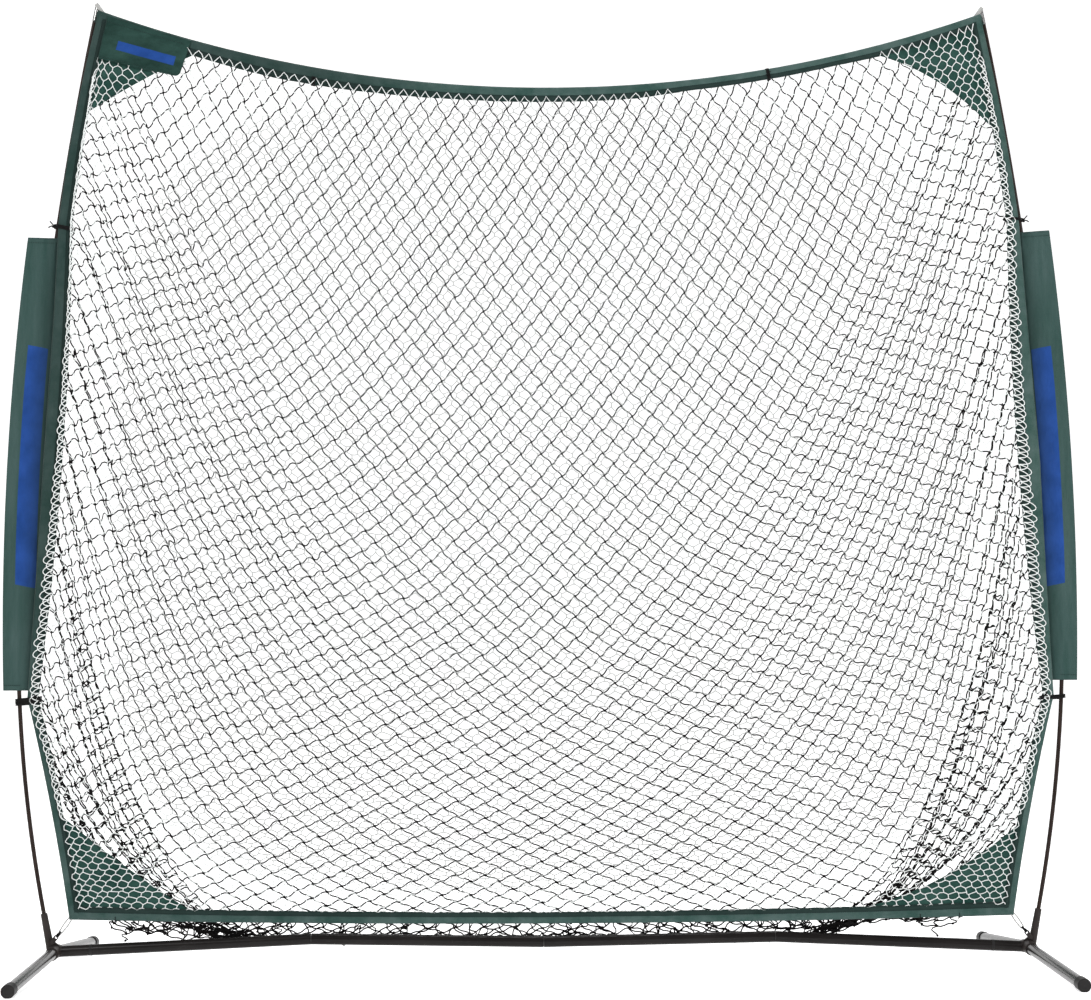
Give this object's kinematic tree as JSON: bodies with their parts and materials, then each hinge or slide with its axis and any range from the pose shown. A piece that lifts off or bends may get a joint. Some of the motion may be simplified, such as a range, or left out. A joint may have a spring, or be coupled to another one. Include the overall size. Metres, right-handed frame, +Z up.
{
  "type": "pitching target net",
  "caption": "Free-standing pitching net: white front net and sagging black rear net in a green hem, strung between bowed poles on a tube base.",
  "frame": {"origin": "on the floor, midway between the two hubs and under the bar and the poles", "axes": "+Z up, +X to the right as the pitcher sees the net, +Y from the pitcher through the net"},
  "size_m": [2.4774, 0.9698, 2.243],
  "materials": {
    "gloss_black_paint": "gloss black powder coat on steel tube",
    "hub_plastic": "dark moulded plastic, slight sheen",
    "black_cap_plastic": "black moulded plastic",
    "inner_steel": "plain zinc plated steel, hidden in the joints",
    "dark_fibreglass": "dark brown-black fibreglass, satin",
    "elastic_cord": "woven cover over rubber, hidden in the poles",
    "bare_metal_tip": "bright bare metal",
    "green_cloth": "dark green woven polyester with a soft sheen",
    "banner_cloth": "dark green woven polyester, smoother sheen",
    "white_webbing": "white woven webbing",
    "black_cord": "black braided cord and webbing",
    "white_twine": "white braided knotless netting",
    "black_twine": "black knotted twine netting"
  },
  "bodies": {
    "frame": {"left_hub": "hub_plastic", "left_stub_tube": "gloss_black_paint", "left_stub_coupler": "inner_steel", "left_joint_ring": "black_cap_plastic", "left_outer_bar": "gloss_black_paint", "left_inner_bar": "gloss_black_paint", "left_knee_coupler": "inner_steel", "left_pole_1": "dark_fibreglass", "left_pole_2": "dark_fibreglass", "left_pole_3": "dark_fibreglass", "left_pole_4": "dark_fibreglass", "left_pole_ferrules": "inner_steel", "left_shock_cord": "elastic_cord", "left_pole_tip": "bare_metal_tip", "left_top_patch": "green_cloth", "left_bottom_patch": "green_cloth", "left_banner": "banner_cloth", "left_top_loop": "white_webbing", "left_corner_strap": "white_webbing", "left_corner_cord": "black_cord", "right_hub": "hub_plastic", "right_stub_tube": "gloss_black_paint", "right_stub_coupler": "inner_steel", "right_joint_ring": "black_cap_plastic", "right_outer_bar": "gloss_black_paint", "right_inner_bar": "gloss_black_paint", "right_knee_coupler": "inner_steel", "right_pole_1": "dark_fibreglass", "right_pole_2": "dark_fibreglass", "right_pole_3": "dark_fibreglass", "right_pole_4": "dark_fibreglass", "right_pole_ferrules": "inner_steel", "right_shock_cord": "elastic_cord", "right_pole_tip": "bare_metal_tip", "right_top_patch": "green_cloth", "right_bottom_patch": "green_cloth", "right_banner": "banner_cloth", "right_top_loop": "white_webbing", "right_corner_strap": "white_webbing", "right_corner_cord": "black_cord", "middle_coupler": "inner_steel", "top_hem": "green_cloth", "bottom_hem": "green_cloth", "left_hem": "green_cloth", "right_hem": "green_cloth", "front_net": "white_twine", "rear_net": "black_twine", "pole_ties": "black_cord", "net_ties": "black_cord"},
    "front_left_leg_body": {"front_left_leg": "gloss_black_paint", "front_left_cap": "black_cap_plastic"},
    "rear_left_leg_body": {"rear_left_leg": "gloss_black_paint", "rear_left_cap": "black_cap_plastic"},
    "front_right_leg_body": {"front_right_leg": "gloss_black_paint", "front_right_cap": "black_cap_plastic"},
    "rear_right_leg_body": {"rear_right_leg": "gloss_black_paint", "rear_right_cap": "black_cap_plastic"},
    "left_button_body": {"left_snap_button": "inner_steel"},
    "right_button_body": {"right_snap_button": "inner_steel"},
    "flap_body": {"label_flap": "green_cloth"}
  },
  "joints": [
    {"name": "front_left_leg_pull", "type": "slide", "parent": "frame", "child": "front_left_leg_body", "axis": [0, -0.9983, -0.0587], "range_m": [0, 0.033]},
    {"name": "rear_left_leg_pull", "type": "slide", "parent": "frame", "child": "rear_left_leg_body", "axis": [0, 0.9983, -0.0587], "range_m": [0, 0.033]},
    {"name": "front_right_leg_pull", "type": "slide", "parent": "frame", "child": "front_right_leg_body", "axis": [0, -0.9983, -0.0587], "range_m": [0, 0.033]},
    {"name": "rear_right_leg_pull", "type": "slide", "parent": "frame", "child": "rear_right_leg_body", "axis": [0, 0.9983, -0.0587], "range_m": [0, 0.033]},
    {"name": "left_button_press", "type": "slide", "parent": "frame", "child": "left_button_body", "axis": [0, -1, 0], "range_m": [0, 0.0042], "stiffness_N_per_m": 900, "springref_m": -0.004},
    {"name": "right_button_press", "type": "slide", "parent": "frame", "child": "right_button_body", "axis": [0, -1, 0], "range_m": [0, 0.0042], "stiffness_N_per_m": 900, "springref_m": -0.004},
    {"name": "flap_lift", "type": "hinge", "parent": "frame", "child": "flap_body", "pos_m": [-1.018, -0.01305, 2.21], "axis": [-0.9542, 0, 0.299], "range_deg": [0, 150]}
  ]
}
